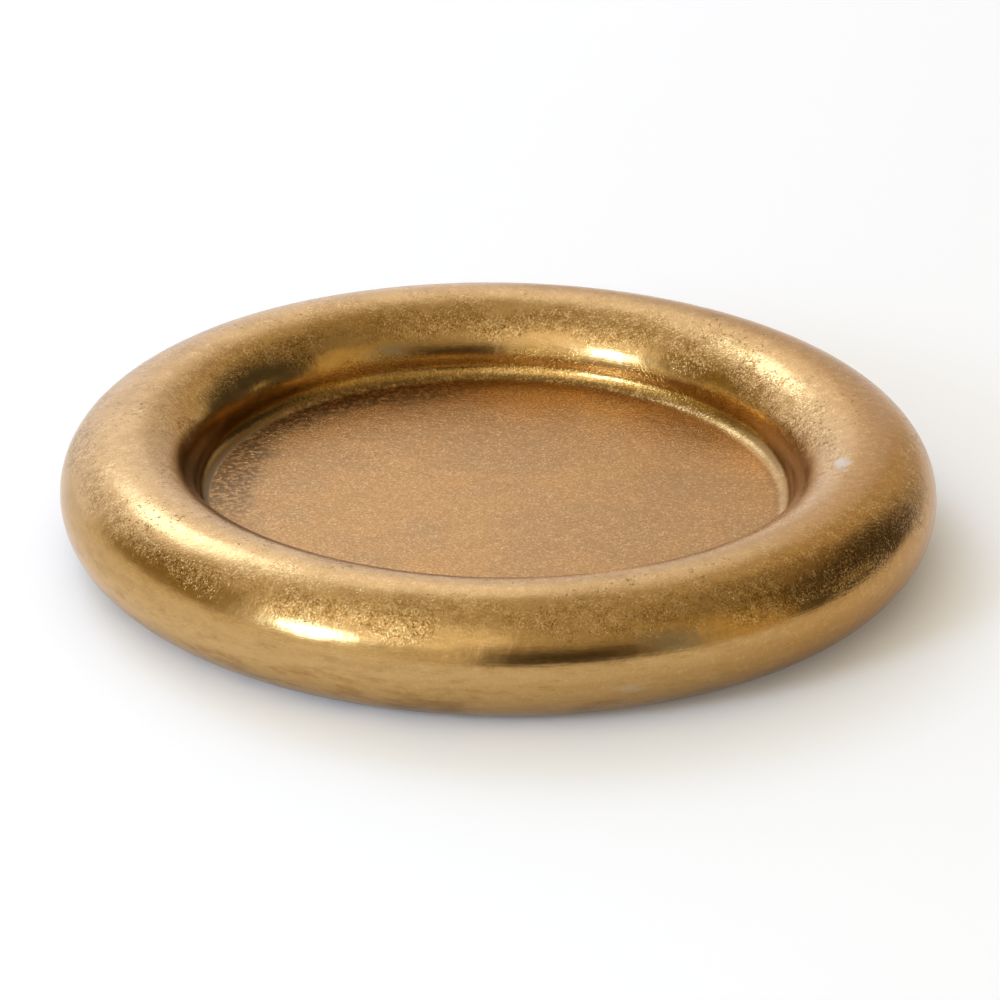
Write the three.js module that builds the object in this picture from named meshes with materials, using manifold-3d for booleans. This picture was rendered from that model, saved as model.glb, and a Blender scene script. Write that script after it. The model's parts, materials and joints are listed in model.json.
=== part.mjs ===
// A round cast tray: a fat rolled rim around a sunken flat floor, in one hollow casting. A ring
// closes the hollow from below. Countersunk screws hold it to lugs inside the rim, and the tray
// stands on felt pads let into the ring, one midway between each two screws.
// Millimetres, +Z up. The origin is the point on the table under the middle of the tray.
import * as THREE from "three";
import { mergeVertices, toCreasedNormals } from "three/addons/utils/BufferGeometryUtils.js";
import Module from "manifold-3d";

const wasm = await Module();
wasm.setup();

// Driving dimensions of the casting
const OUTER_DIAMETER = 356;
const RIM_WIDTH = 56; // across the oval section of the rim
const RIM_HEIGHT = 51.5; // of the whole oval, before its underside is cut flat
const BASE_CUT = 2; // height cut off the bottom of the oval to make the flat base
const WALL = 4.5; // cast wall around the hollow of the rim
const WELL_DEPTH = 30.5; // from the crest of the rim down to the floor
const FLOOR_THICKNESS = 5;
const CORNER_RADIUS = 7; // hollow corner between floor and rim, inside the well
const UNDER_CORNER_RADIUS = 5; // the same corner on the underside
const LEDGE_WIDTH = 2; // step in the casting that the ring seats against
const LEDGE_THICKNESS = 2.7;
const LUG_WALL = 4.2; // metal of a lug on each side of its screw, along the rim
const LUG_CAP = 2.5; // metal of a lug past the end of its tapped hole
const HOLE_RUN_OUT = 1; // tapped hole left empty past the tip of the screw

// Driving dimensions of the closing ring
const FIT_GAP = 0.3; // clearance between two pieces, where one seats in or on the other
const LIP_WIDTH = 2.5; // flat of the casting left on each side of the ring
const RING_THICKNESS = 3;

// Driving dimensions of the screws
const SCREW_COUNT = 6;
const SCREW_DIAMETER = 4;
const SCREW_LENGTH = 10;
const HEAD_DIAMETER = 7.6;
const HEAD_EDGE = 0.4; // straight edge of the countersunk head
const HEAD_SUNK = 0.2; // how far the head sits inside the face of the ring
const TIP_CHAMFER = 0.8;
const SOCKET_WIDTH = 2.5; // hexagon socket, across flats
const SOCKET_DEPTH = 1.4;

// Driving dimensions of the felt pads
const PAD_MARGIN = 1.7; // ring left on each side of a pad
const PAD_THICKNESS = 2.5;
const PAD_SUNK = 1; // how far a pad is let into the ring
const PAD_BEVEL = 0.4;

// Facets
const ROUND_STEPS = 60; // around the tray
const SMALL_STEPS = 18; // around a screw or a pad
const OVAL_STEP = Math.PI / 15; // along the section of the rim
const HOLLOW_STEP = Math.PI / 9; // along the section of its hollow
const CORNER_STEPS = 4;
const CREASE = Math.PI / 6; // edges sharper than this are drawn sharp

// Heights that follow from the driving dimensions
const rimHalfWidth = RIM_WIDTH / 2;
const rimHalfHeight = RIM_HEIGHT / 2;
const rimRadius = OUTER_DIAMETER / 2 - rimHalfWidth;
const baseLevel = PAD_THICKNESS - PAD_SUNK;
const rimMiddle = baseLevel - BASE_CUT + rimHalfHeight;
const floorTop = rimMiddle + rimHalfHeight - WELL_DEPTH;
const floorBottom = floorTop - FLOOR_THICKNESS;
const ringTop = baseLevel + RING_THICKNESS;
const seatLevel = ringTop + FIT_GAP;
const ledgeTop = seatLevel + LEDGE_THICKNESS;
const headLevel = baseLevel + HEAD_SUNK;
const screwTip = headLevel + SCREW_LENGTH;
const holeEnd = screwTip + HOLE_RUN_OUT;

// The rim's oval section. Angles run from its outermost point over the crest to the inside.
// An offset moves the point off the oval, out of the metal if it is positive.
const OUTERMOST = 0;
const CREST = Math.PI / 2;
const UNDERSIDE = (3 * Math.PI) / 2;

function ovalPoint(angle, offset = 0) {
  const across = Math.cos(angle);
  const up = Math.sin(angle);
  const normal = new THREE.Vector2(across / rimHalfWidth, up / rimHalfHeight).normalize();
  const point = new THREE.Vector2(rimRadius + rimHalfWidth * across, rimMiddle + rimHalfHeight * up);
  return point.addScaledVector(normal, offset);
}

// The angle on the inner half of the oval at which the offset point has this height.
function innerAngle(height, offset = 0) {
  const halvings = 40;
  let above = CREST;
  let below = UNDERSIDE;
  for (let i = 0; i < halvings; i++) {
    const middle = (above + below) / 2;
    if (ovalPoint(middle, offset).y > height) above = middle;
    else below = middle;
  }
  return (above + below) / 2;
}

// The same height on the outer half.
const mirrored = (angle) => Math.PI - angle;

// Points along a stretch of the oval, or of a curve parallel to it.
function ovalArc(from, to, offset = 0, step = OVAL_STEP) {
  const steps = Math.ceil(Math.abs(to - from) / step);
  const angles = Array.from({ length: steps + 1 }, (_, i) => from + ((to - from) * i) / steps);
  return angles.map((angle) => ovalPoint(angle, offset));
}

// Points along a hollow circular corner, from the oval at this angle to the floor.
function cornerArc(angle, radius, floorAngle) {
  const centre = ovalPoint(angle, radius);
  const wallAngle = ovalPoint(angle).sub(centre).angle();
  const half = Math.PI;
  const turn = THREE.MathUtils.euclideanModulo(floorAngle - wallAngle + half, 2 * half) - half;
  return Array.from({ length: CORNER_STEPS + 1 }, (_, i) => {
    const along = wallAngle + (turn * i) / CORNER_STEPS;
    return new THREE.Vector2(Math.cos(along), Math.sin(along)).multiplyScalar(radius).add(centre);
  });
}

// A turned shape: a profile of radius and height, run counterclockwise, around the Z axis.
function turned(profile, steps = ROUND_STEPS) {
  return new THREE.LatheGeometry(profile, steps).rotateX(Math.PI / 2);
}

const outline = (...pairs) => pairs.map(([radius, height]) => new THREE.Vector2(radius, height));

// A flat ring around the Z axis, on the middle line of the rim.
function turnedBand(halfWidth, bottom, top) {
  const inner = rimRadius - halfWidth;
  const outer = rimRadius + halfWidth;
  return turned(outline([inner, bottom], [outer, bottom], [outer, top], [inner, top], [inner, bottom]));
}

// A geometry as a solid that can be cut and joined, and back.
function solid(geometry) {
  const bare = new THREE.BufferGeometry();
  bare.setAttribute("position", geometry.getAttribute("position"));
  bare.setIndex(geometry.getIndex());
  const merged = mergeVertices(bare);
  const vertProperties = merged.getAttribute("position").array;
  const triVerts = new Uint32Array(merged.getIndex().array);
  return new wasm.Manifold(new wasm.Mesh({ numProp: 3, vertProperties, triVerts }));
}

function geometryOf(body) {
  const mesh = body.getMesh();
  const geometry = new THREE.BufferGeometry();
  geometry.setAttribute("position", new THREE.BufferAttribute(mesh.vertProperties, mesh.numProp));
  geometry.setIndex(new THREE.BufferAttribute(mesh.triVerts, 1));
  return toCreasedNormals(geometry, CREASE);
}

// Places around the middle line of the rim
const placeStep = (2 * Math.PI) / SCREW_COUNT;
const screwPlaces = Array.from({ length: SCREW_COUNT }, (_, i) => i * placeStep);
const padPlaces = screwPlaces.map((angle) => angle + placeStep / 2);
const atPlace = (geometry, angle) => geometry.clone().translate(rimRadius, 0, 0).rotateZ(angle);

// Half widths at the flat base, from the middle line of the rim
const flatHalfWidth = rimRadius - ovalPoint(innerAngle(baseLevel)).x;
const seatHalfWidth = flatHalfWidth - LIP_WIDTH;
const windowHalfWidth = seatHalfWidth - LEDGE_WIDTH;
const ringHalfWidth = seatHalfWidth - FIT_GAP;
const padRadius = ringHalfWidth - PAD_MARGIN;

// Screw: stands on its countersunk head, around its own axis.
function screwProfile(bottom, top, gap = 0) {
  const headRadius = HEAD_DIAMETER / 2 + gap;
  const shankRadius = SCREW_DIAMETER / 2 + gap;
  const coneBottom = headLevel + HEAD_EDGE;
  const coneTop = coneBottom + headRadius - shankRadius;
  return outline(
    [0, bottom],
    [headRadius, bottom],
    [headRadius, coneBottom],
    [shankRadius, coneTop],
    [shankRadius, top - TIP_CHAMFER],
    [shankRadius - TIP_CHAMFER, top],
    [0, top],
  );
}

function screwGeometry() {
  const socketRadius = SOCKET_WIDTH / Math.sqrt(3);
  const socket = new THREE.CylinderGeometry(socketRadius, socketRadius, 2 * SOCKET_DEPTH, 6);
  socket.rotateX(Math.PI / 2).translate(0, 0, headLevel);
  const blank = turned(screwProfile(headLevel, screwTip), SMALL_STEPS);
  return geometryOf(solid(blank).subtract(solid(socket)));
}

// The hole for a screw, through the ring and into its lug.
function screwHole() {
  return turned(screwProfile(baseLevel - FIT_GAP, holeEnd, FIT_GAP), SMALL_STEPS);
}

// Casting: the whole outside, less the hollow of the rim, the seat of the ring and the holes.
function castingSkin() {
  const wallAngle = innerAngle(floorTop + CORNER_RADIUS, CORNER_RADIUS);
  const underAngle = innerAngle(floorBottom - UNDER_CORNER_RADIUS, UNDER_CORNER_RADIUS);
  const flatAngle = innerAngle(baseLevel);
  const upwards = Math.PI / 2;
  const downwards = -Math.PI / 2;
  return turned([
    ...outline([0, floorBottom]),
    ...cornerArc(underAngle, UNDER_CORNER_RADIUS, upwards).reverse(),
    ...ovalArc(underAngle, flatAngle).slice(1),
    ...ovalArc(mirrored(flatAngle), OUTERMOST),
    ...ovalArc(OUTERMOST, CREST).slice(1),
    ...ovalArc(CREST, wallAngle).slice(1),
    ...cornerArc(wallAngle, CORNER_RADIUS, downwards).slice(1),
    ...outline([0, floorTop]),
  ]);
}

function rimHollow() {
  const ledgeAngle = innerAngle(ledgeTop, -WALL);
  const arc = ovalArc(mirrored(ledgeAngle), ledgeAngle, -WALL, HOLLOW_STEP);
  return turned([...arc, arc[0]]);
}

// A lug ties the two sides of the rim together across the hollow and takes one screw.
function lugBlock() {
  const length = SCREW_DIAMETER + 2 * (FIT_GAP + LUG_WALL);
  const height = holeEnd + LUG_CAP - baseLevel;
  return new THREE.BoxGeometry(RIM_WIDTH, length, height).translate(0, 0, baseLevel + height / 2);
}

function castingGeometry() {
  const windows = turnedBand(windowHalfWidth, ringTop, ledgeTop + FIT_GAP);
  const seat = turnedBand(seatHalfWidth, baseLevel - BASE_CUT, seatLevel);
  const lugs = screwPlaces.map((angle) => solid(atPlace(lugBlock(), angle)));
  const holes = screwPlaces.map((angle) => solid(atPlace(screwHole(), angle)));
  const open = solid(rimHollow()).add(solid(windows));
  const hollow = lugs.reduce((body, lug) => body.subtract(lug), open);
  const shell = solid(castingSkin()).subtract(hollow).subtract(solid(seat));
  return geometryOf(holes.reduce((body, hole) => body.subtract(hole), shell));
}

// Closing ring: a flat ring with a countersunk hole for each screw and a pocket for each pad.
function padPocket() {
  const radius = padRadius + FIT_GAP;
  const depth = PAD_SUNK + FIT_GAP;
  const pocket = new THREE.CylinderGeometry(radius, radius, 2 * depth, SMALL_STEPS);
  return pocket.rotateX(Math.PI / 2).translate(0, 0, baseLevel);
}

function ringGeometry() {
  const blank = solid(turnedBand(ringHalfWidth, baseLevel, ringTop));
  const holes = screwPlaces.map((angle) => solid(atPlace(screwHole(), angle)));
  const pockets = padPlaces.map((angle) => solid(atPlace(padPocket(), angle)));
  return geometryOf([...holes, ...pockets].reduce((body, cut) => body.subtract(cut), blank));
}

// Pad: a felt disc with its lower edge eased, standing on the table.
function padGeometry() {
  const flatRadius = padRadius - PAD_BEVEL;
  const sides = outline([padRadius, PAD_BEVEL], [padRadius, PAD_THICKNESS]);
  const disc = [...outline([0, 0], [flatRadius, 0]), ...sides, ...outline([0, PAD_THICKNESS])];
  return turned(disc, SMALL_STEPS);
}

// Finishes
const castFinish = new THREE.MeshStandardMaterial({ color: 0xb98f52, roughness: 0.38, metalness: 1 });
const ringFinish = new THREE.MeshStandardMaterial({ color: 0x8e6c3c, roughness: 0.55, metalness: 1 });
const screwFinish = new THREE.MeshStandardMaterial({ color: 0xa8a297, roughness: 0.35, metalness: 1 });
const feltFinish = new THREE.MeshStandardMaterial({ color: 0x3b322b, roughness: 1, metalness: 0 });

function named(name, geometry, material) {
  const mesh = new THREE.Mesh(geometry, material);
  mesh.name = name;
  return mesh;
}

// Copies of one piece around the rim, each in its own turned group.
function copiesAround(name, geometry, material, places) {
  return places.map((angle, i) => {
    const copy = named(`${name}_${i + 1}`, geometry, material);
    copy.position.x = rimRadius;
    const arm = new THREE.Group();
    arm.rotation.z = angle;
    return arm.add(copy);
  });
}

const tray = new THREE.Group();
tray.add(named("tray_casting", castingGeometry(), castFinish));
tray.add(named("base_ring", ringGeometry(), ringFinish));
tray.add(...copiesAround("base_screw", screwGeometry(), screwFinish, screwPlaces));
tray.add(...copiesAround("foot_pad", padGeometry(), feltFinish, padPlaces));

export default tray;
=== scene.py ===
# %% [markdown]
# # A round cast tray with a brass finish
# The tray is one hollow casting: a fat rolled rim around a sunken floor. Underneath, a flat ring
# closes the rim, countersunk screws hold the ring, and felt pads carry the weight.
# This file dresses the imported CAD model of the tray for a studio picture, cell by cell. The shapes
# come first, then the finishes, then the studio. All lengths are in metres.

# %% Load the frame
import json
import math

import bmesh
import bpy
from mathutils import Matrix, Vector, noise


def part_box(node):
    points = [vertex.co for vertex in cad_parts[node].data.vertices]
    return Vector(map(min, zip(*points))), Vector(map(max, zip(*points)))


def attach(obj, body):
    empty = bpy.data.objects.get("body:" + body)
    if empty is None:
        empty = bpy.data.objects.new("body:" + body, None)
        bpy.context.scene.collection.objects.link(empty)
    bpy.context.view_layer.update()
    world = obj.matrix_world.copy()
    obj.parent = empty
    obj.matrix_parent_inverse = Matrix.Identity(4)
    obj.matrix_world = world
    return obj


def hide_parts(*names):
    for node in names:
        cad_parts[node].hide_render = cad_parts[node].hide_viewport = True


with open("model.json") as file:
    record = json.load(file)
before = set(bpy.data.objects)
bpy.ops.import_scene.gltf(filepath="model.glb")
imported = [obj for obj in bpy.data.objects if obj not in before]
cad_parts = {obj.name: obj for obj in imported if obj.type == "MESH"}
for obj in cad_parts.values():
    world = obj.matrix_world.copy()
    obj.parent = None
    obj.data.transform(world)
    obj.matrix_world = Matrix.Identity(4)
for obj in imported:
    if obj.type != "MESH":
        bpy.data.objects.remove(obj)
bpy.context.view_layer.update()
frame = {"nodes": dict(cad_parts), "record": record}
print("CAD nodes:", len(frame["nodes"]))

# %% [markdown]
# ## Sizes
# A maker measures the piece before drawing it, and here the CAD model is what gets measured. The
# numbers could be typed in again, but then they might drift away from the CAD. So the script reads
# the boxes of the CAD nodes, and adds only the few sizes that a box can't tell.

# %% Sizes from the frame
BASE_CUT = 0.002  # height that the flat base cuts off the oval of the rim
FLOOR_THICKNESS = 0.005
FIT_GAP = 0.0003  # clearance around the ring and the pads
mounts = {mount["name"]: mount["pos_m"] for mount in frame["record"]["mounts"]}
casting_low, casting_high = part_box("tray_casting")
ring_low, ring_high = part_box("base_ring")
screw_low, screw_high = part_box("base_screw_1")

base_level = casting_low.z
floor_level = mounts["well_floor"][2]
rim_radius = (screw_low.x + screw_high.x) / 2
half_width = casting_high.x - rim_radius
half_height = (casting_high.z - base_level + BASE_CUT) / 2
rim_middle = casting_high.z - half_height
print("rim in mm:", [round(2000 * half, 1) for half in (half_width, half_height)])
print("well depth in mm:", round(1000 * (casting_high.z - floor_level), 1))

# %% [markdown]
# ## The section of the casting
# Cut through on one side, the tray shows an oval rim that runs through a small hollow corner into
# the floor. A curve object with a bevel could draw the rim, but not the corner and the floor in one
# skin. So the section is a chain of points: stretches of the oval, and two arcs for the corners.
# Angles on the oval run from its outermost point over the crest to the inside.

# %% Helpers for the section
CREST = math.pi / 2
UNDERSIDE = 3 * math.pi / 2
HALVINGS = 40  # steps of the search for an angle


def outline(pairs):
    """Points from pairs of a radius and a height"""
    return [Vector((radius, 0, height)) for radius, height in pairs]


def rim_point(angle, offset=0.0):
    """A point of the oval, moved off it along its normal"""
    across = math.cos(angle)
    up = math.sin(angle)
    normal = Vector((across / half_width, 0, up / half_height)).normalized()
    point = Vector((rim_radius + half_width * across, 0, rim_middle + half_height * up))
    return point + offset * normal


def inner_angle(height, offset=0.0):
    """The angle on the inside of the oval at which the offset point has this height"""
    above = CREST
    below = UNDERSIDE
    for _ in range(HALVINGS):
        halfway = (above + below) / 2
        if rim_point(halfway, offset).z > height:
            above = halfway
        else:
            below = halfway
    return (above + below) / 2


def rim_stretch(start, end, steps):
    """Points along the oval"""
    return [rim_point(start + (end - start) * i / steps) for i in range(steps + 1)]


def corner(angle, radius, to_floor, steps):
    """Points along a hollow corner, from the oval at this angle to the floor"""
    centre = rim_point(angle, radius)
    to_wall = rim_point(angle) - centre
    turns = [to_wall.slerp(to_floor, i / steps) for i in range(steps + 1)]
    return [centre + radius * turn.normalized() for turn in turns]


# %% The section
CORNER_RADIUS = 0.007  # in the well
UNDER_CORNER_RADIUS = 0.005  # below the floor
RIM_STEPS = 88
UNDER_RIM_STEPS = 10
CORNER_STEPS = 9
UNDER_CORNER_STEPS = 5
FLOOR_RINGS = 36
UNDER_RINGS = 8
UP = Vector((0, 0, 1))
ring_half_width = ring_high.x - rim_radius
seat_half_width = ring_half_width + FIT_GAP
seat_level = ring_high.z + FIT_GAP
under_level = floor_level - FLOOR_THICKNESS

wall_angle = inner_angle(floor_level + CORNER_RADIUS, CORNER_RADIUS)
under_angle = inner_angle(under_level - UNDER_CORNER_RADIUS, UNDER_CORNER_RADIUS)
flat_angle = inner_angle(base_level)
well_corner = corner(wall_angle, CORNER_RADIUS, -UP, CORNER_STEPS)
under_corner = corner(under_angle, UNDER_CORNER_RADIUS, UP, UNDER_CORNER_STEPS)
floor_radius = well_corner[-1].x
under_radius = under_corner[-1].x

seat = outline([
    (rim_radius - seat_half_width, base_level),
    (rim_radius - seat_half_width, seat_level),
    (rim_radius + seat_half_width, seat_level),
    (rim_radius + seat_half_width, base_level),
])
floor = outline((floor_radius * i / FLOOR_RINGS, floor_level) for i in range(FLOOR_RINGS))
under_floor = outline((under_radius * i / UNDER_RINGS, under_level) for i in range(UNDER_RINGS))
section = [
    *floor,
    *reversed(well_corner[1:]),
    *reversed(rim_stretch(math.pi - flat_angle, wall_angle, RIM_STEPS)),
    *reversed(seat),
    *rim_stretch(flat_angle, under_angle, UNDER_RIM_STEPS)[:-1],
    *under_corner,
    *reversed(under_floor),
]
print("section:", len(section), "points; flat floor", round(2000 * floor_radius, 1), "mm across")

# %% [markdown]
# ## The casting
# The foundry pours the tray in sand and a grinder rounds it by hand, so no two places of the rim
# curve quite alike. A subdivided torus could be pushed about, but a turned shape starts from its
# section. Spin turns the chain of points around the Z axis. Each point of the skin then moves along
# its normal by smooth noise, tenths of a millimetre, which bends the reflections as hand work does.

# %% Helpers for turned pieces
SAME_POINT = 1e-6  # points closer than this are merged


def turn(shape, points, steps):
    """Spins a chain of points around the Z axis into a closed skin"""
    verts = [shape.verts.new(point) for point in points]
    edges = [shape.edges.new(pair) for pair in zip(verts, verts[1:])]
    bmesh.ops.spin(
        shape,
        geom=verts + edges,
        cent=(0, 0, 0),
        axis=(0, 0, 1),
        angle=math.tau,
        steps=steps,
        use_merge=True,
    )
    bmesh.ops.remove_doubles(shape, verts=shape.verts, dist=SAME_POINT)
    bmesh.ops.recalc_face_normals(shape, faces=shape.faces)


def soften(shape, crease):
    """Shades the skin smooth, but for the edges that are sharper than the crease, in degrees"""
    for face in shape.faces:
        face.smooth = True
    for edge in shape.edges:
        edge.smooth = edge.calc_face_angle(0) < math.radians(crease)


def make_piece(shape, name, node):
    """Makes the mesh an object that stands for a CAD node"""
    data = bpy.data.meshes.new(name)
    shape.to_mesh(data)
    shape.free()
    piece = bpy.data.objects.new(name, data)
    bpy.context.scene.collection.objects.link(piece)
    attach(piece, "root")
    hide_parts(node)
    print(name, "has", len(data.polygons), "faces")
    return piece


# %% Turn the casting
AROUND = 540
CASTING_CREASE = 35
SWELL = 0.00025  # slow swells of the hand-ground skin
SWELL_SCALE = 11
RIPPLE = 0.00004  # smaller unevenness
RIPPLE_SCALE = 70
SEAT_KEPT = 0.004  # above the base, how far the skin stays true to fit the ring
WELL_OFFSET = Vector((-0.0014, 0, 0))


def eased(value):
    """From 0 to 1, and flat at both ends"""
    value = min(max(value, 0), 1)
    return value * value * (3 - 2 * value)


def above_seat(point):
    """0 at the seat of the ring, 1 well above it"""
    return eased((point.z - base_level) / SEAT_KEPT - 1)


def ground_by_hand(point):
    """How far the grinder left this point of the skin from the true shape"""
    swell = SWELL * noise.noise(point * SWELL_SCALE)
    ripple = RIPPLE * noise.noise(point * RIPPLE_SCALE)
    return above_seat(point) * (swell + ripple)


def well_shift(point):
    """The pattern's two halves never meet exactly, so the well sits a little to one side"""
    inside = eased((rim_radius - point.xy.length) / half_width)
    return above_seat(point) * inside * WELL_OFFSET


shape = bmesh.new()
turn(shape, section, AROUND)
shape.normal_update()
for vert in shape.verts:
    vert.co += vert.normal * ground_by_hand(vert.co) + well_shift(vert.co)
soften(shape, CASTING_CREASE)
casting = make_piece(shape, "cast_tray", "tray_casting")

# %% [markdown]
# ## The closing ring
# A hollow rim has an open underside, where the sand core came out. A turned ring closes it. The
# ring is a spun rectangle with its edges bevelled. Its countersunk holes and the pockets for the
# pads could be modelled into the grid of faces, but drilling is closer to the workshop: a Boolean
# modifier cuts them with turned plugs, and the result is kept as plain mesh.

# %% Turn the ring
RING_STEPS = 360
ring_section = outline([
    (rim_radius - ring_half_width, ring_low.z),
    (rim_radius + ring_half_width, ring_low.z),
    (rim_radius + ring_half_width, ring_high.z),
    (rim_radius - ring_half_width, ring_high.z),
    (rim_radius - ring_half_width, ring_low.z),
])
shape = bmesh.new()
turn(shape, ring_section, RING_STEPS)
ring = make_piece(shape, "closing_ring", "base_ring")

# %% Plugs for the holes
SCREW_COUNT = 6
HEAD_RADIUS = 0.0038
HEAD_EDGE = 0.0004  # straight edge of the head, before its cone
SHANK_RADIUS = 0.002
PLUG_TOP = 0.008  # higher than the ring, so that the plug goes through it
HOLE_STEPS = 48
head_level = screw_low.z
cone_low = head_level + HEAD_EDGE
pad_low, pad_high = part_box("foot_pad_2")
pad_radius = (pad_high.x - pad_low.x) / 2


def place_around(shape, verts, angle):
    """Moves a turned shape from the Z axis to the middle line of the rim, at this angle"""
    bmesh.ops.translate(shape, verts=verts, vec=(rim_radius, 0, 0))
    bmesh.ops.rotate(shape, verts=verts, cent=(0, 0, 0), matrix=Matrix.Rotation(angle, 3, "Z"))


head_hole = HEAD_RADIUS + FIT_GAP
shank_hole = SHANK_RADIUS + FIT_GAP
countersink = outline([
    (0, 0),
    (head_hole, 0),
    (head_hole, cone_low),
    (shank_hole, cone_low + head_hole - shank_hole),
    (shank_hole, PLUG_TOP),
    (0, PLUG_TOP),
])
pocket_radius = pad_radius + FIT_GAP
pocket_top = pad_high.z + FIT_GAP
pocket = outline([(0, 0), (pocket_radius, 0), (pocket_radius, pocket_top), (0, pocket_top)])

cutters = bmesh.new()
for i in range(SCREW_COUNT):
    for points, step in ((countersink, i), (pocket, i + 0.5)):
        cutter = bmesh.new()
        turn(cutter, points, HOLE_STEPS)
        place_around(cutter, cutter.verts, math.tau * step / SCREW_COUNT)
        cutter_part = bpy.data.meshes.new("plug")
        cutter.to_mesh(cutter_part)
        cutter.free()
        cutters.from_mesh(cutter_part)
        bpy.data.meshes.remove(cutter_part)
cutter_data = bpy.data.meshes.new("plugs")
cutters.to_mesh(cutter_data)
cutters.free()
plugs = bpy.data.objects.new("plugs", cutter_data)
bpy.context.scene.collection.objects.link(plugs)
print("plugs have", len(cutter_data.polygons), "faces")
print("pad radius in mm:", round(1000 * pad_radius, 2))

# %% Drill the ring
drill = ring.modifiers.new("drill", "BOOLEAN")
drill.operation = "DIFFERENCE"
drill.solver = "EXACT"
drill.object = plugs
drilled = bpy.data.meshes.new_from_object(ring.evaluated_get(bpy.context.evaluated_depsgraph_get()))
ring.modifiers.remove(drill)
bpy.data.objects.remove(plugs)
print("drilled ring has", len(drilled.polygons), "faces")

# %% Break the edges of the ring
EDGE_BREAK = 0.0002  # edges are broken with a file
MACHINED_CREASE = 30
shape = bmesh.new()
shape.from_mesh(drilled)
bmesh.ops.remove_doubles(shape, verts=shape.verts, dist=SAME_POINT)
sharp_angle = math.radians(MACHINED_CREASE)
sharp = [edge for edge in shape.edges if edge.calc_face_angle(0) > sharp_angle]
bmesh.ops.bevel(
    shape,
    geom=sharp,
    offset=EDGE_BREAK,
    offset_type="OFFSET",
    affect="EDGES",
    segments=2,
    profile=0.5,
    material=-1,
    clamp_overlap=True,
)
soften(shape, MACHINED_CREASE)
shape.to_mesh(ring.data)
shape.free()
bpy.data.meshes.remove(drilled)
print("finished ring has", len(ring.data.polygons), "faces")

# %% [markdown]
# ## The screws
# Six countersunk socket screws hold the ring. Only their heads show, sunk a hair below the ring.
# The body is a turned chain of points. The hexagon socket could be a Boolean too, but a bridge
# between two loops of edges is cleaner: a hexagon with as many points as the round head is joined
# to it, pushed in, and closed with a shallow drill point.

# %% Model the screws
ACROSS_FLATS = 0.0025
SOCKET_SIDES = 6
SOCKET_RADIUS = ACROSS_FLATS / math.sqrt(3)
SOCKET_DEPTH = 0.0014
DRILL_POINT = SOCKET_RADIUS / 3
HEAD_EASE = 0.00015
TIP_CHAMFER = 0.0008
SCREW_STEPS = 48
tip_level = screw_high.z
screw_chain = outline([
    (HEAD_RADIUS - HEAD_EASE, head_level),
    (HEAD_RADIUS, head_level + HEAD_EASE),
    (HEAD_RADIUS, cone_low),
    (SHANK_RADIUS, cone_low + HEAD_RADIUS - SHANK_RADIUS),
    (SHANK_RADIUS, tip_level - TIP_CHAMFER),
    (SHANK_RADIUS - TIP_CHAMFER, tip_level),
    (0, tip_level),
])


def model_screw(number):
    """A countersunk screw with a hexagon socket, head down, at its place under the rim"""
    shape = bmesh.new()
    turn(shape, screw_chain, SCREW_STEPS)
    rim_edges = [edge for edge in shape.edges if edge.is_boundary]
    hexagon = bmesh.ops.create_circle(shape, segments=SOCKET_SIDES, radius=SOCKET_RADIUS)["verts"]
    bmesh.ops.translate(shape, verts=hexagon, vec=(0, 0, head_level))
    sides = list({edge for vert in hexagon for edge in vert.link_edges})
    bmesh.ops.subdivide_edges(shape, edges=sides, cuts=SCREW_STEPS // SOCKET_SIDES - 1)
    socket = [edge for edge in shape.edges if edge.is_wire]
    bmesh.ops.bridge_loops(shape, edges=rim_edges + socket)
    pushed = bmesh.ops.extrude_edge_only(shape, edges=socket)["geom"]
    floor_verts = [item for item in pushed if isinstance(item, bmesh.types.BMVert)]
    floor_edges = [item for item in pushed if isinstance(item, bmesh.types.BMEdge)]
    bmesh.ops.translate(shape, verts=floor_verts, vec=(0, 0, SOCKET_DEPTH))
    socket_floor = bmesh.ops.contextual_create(shape, geom=floor_edges)["faces"]
    point = bmesh.ops.poke(shape, faces=socket_floor)["verts"]
    bmesh.ops.translate(shape, verts=point, vec=(0, 0, DRILL_POINT))
    bmesh.ops.recalc_face_normals(shape, faces=shape.faces)
    place_around(shape, shape.verts, math.tau * (number - 1) / SCREW_COUNT)
    soften(shape, MACHINED_CREASE)
    return make_piece(shape, f"socket_screw_{number}", f"base_screw_{number}")


screws = [model_screw(number) for number in range(1, SCREW_COUNT + 1)]

# %% [markdown]
# ## The felt pads
# Six punched discs of thick wool felt stand between the tray and the table. A plain cylinder would
# look like rubber. Felt has a soft edge that swells a little where it leaves its pocket, and a nap
# that is never level, so the disc is turned from a rounded chain of points and roughened by noise.
# Its underside stays flat, because it rests on the table.

# %% Section of a pad
PAD_RINGS = 12
EDGE_RADIUS = 0.0005  # the rounded lower edge
EDGE_STEPS = 4
BULGE = 0.00012  # swelling between the edge and the pocket
BULGE_STEPS = 5
BULGE_RISE = 0.0002  # height of one step
POCKET_LEVEL = 0.0016  # from here up the felt is squeezed into its pocket
SQUEEZE = 0.0001
TOP_EASE = 0.0002
pad_top = pad_high.z
pad_underside = [(pad_radius * i / PAD_RINGS, 0) for i in range(PAD_RINGS - 1)]
quarter_turn = [math.pi / 2 * i / EDGE_STEPS for i in range(EDGE_STEPS + 1)]
pad_edge = [
    (pad_radius - EDGE_RADIUS * (1 - math.sin(angle)), EDGE_RADIUS * (1 - math.cos(angle)))
    for angle in quarter_turn
]
pad_side = [
    (pad_radius + BULGE * math.sin(math.pi * i / BULGE_STEPS), EDGE_RADIUS + BULGE_RISE * i)
    for i in range(1, BULGE_STEPS)
]
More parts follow.
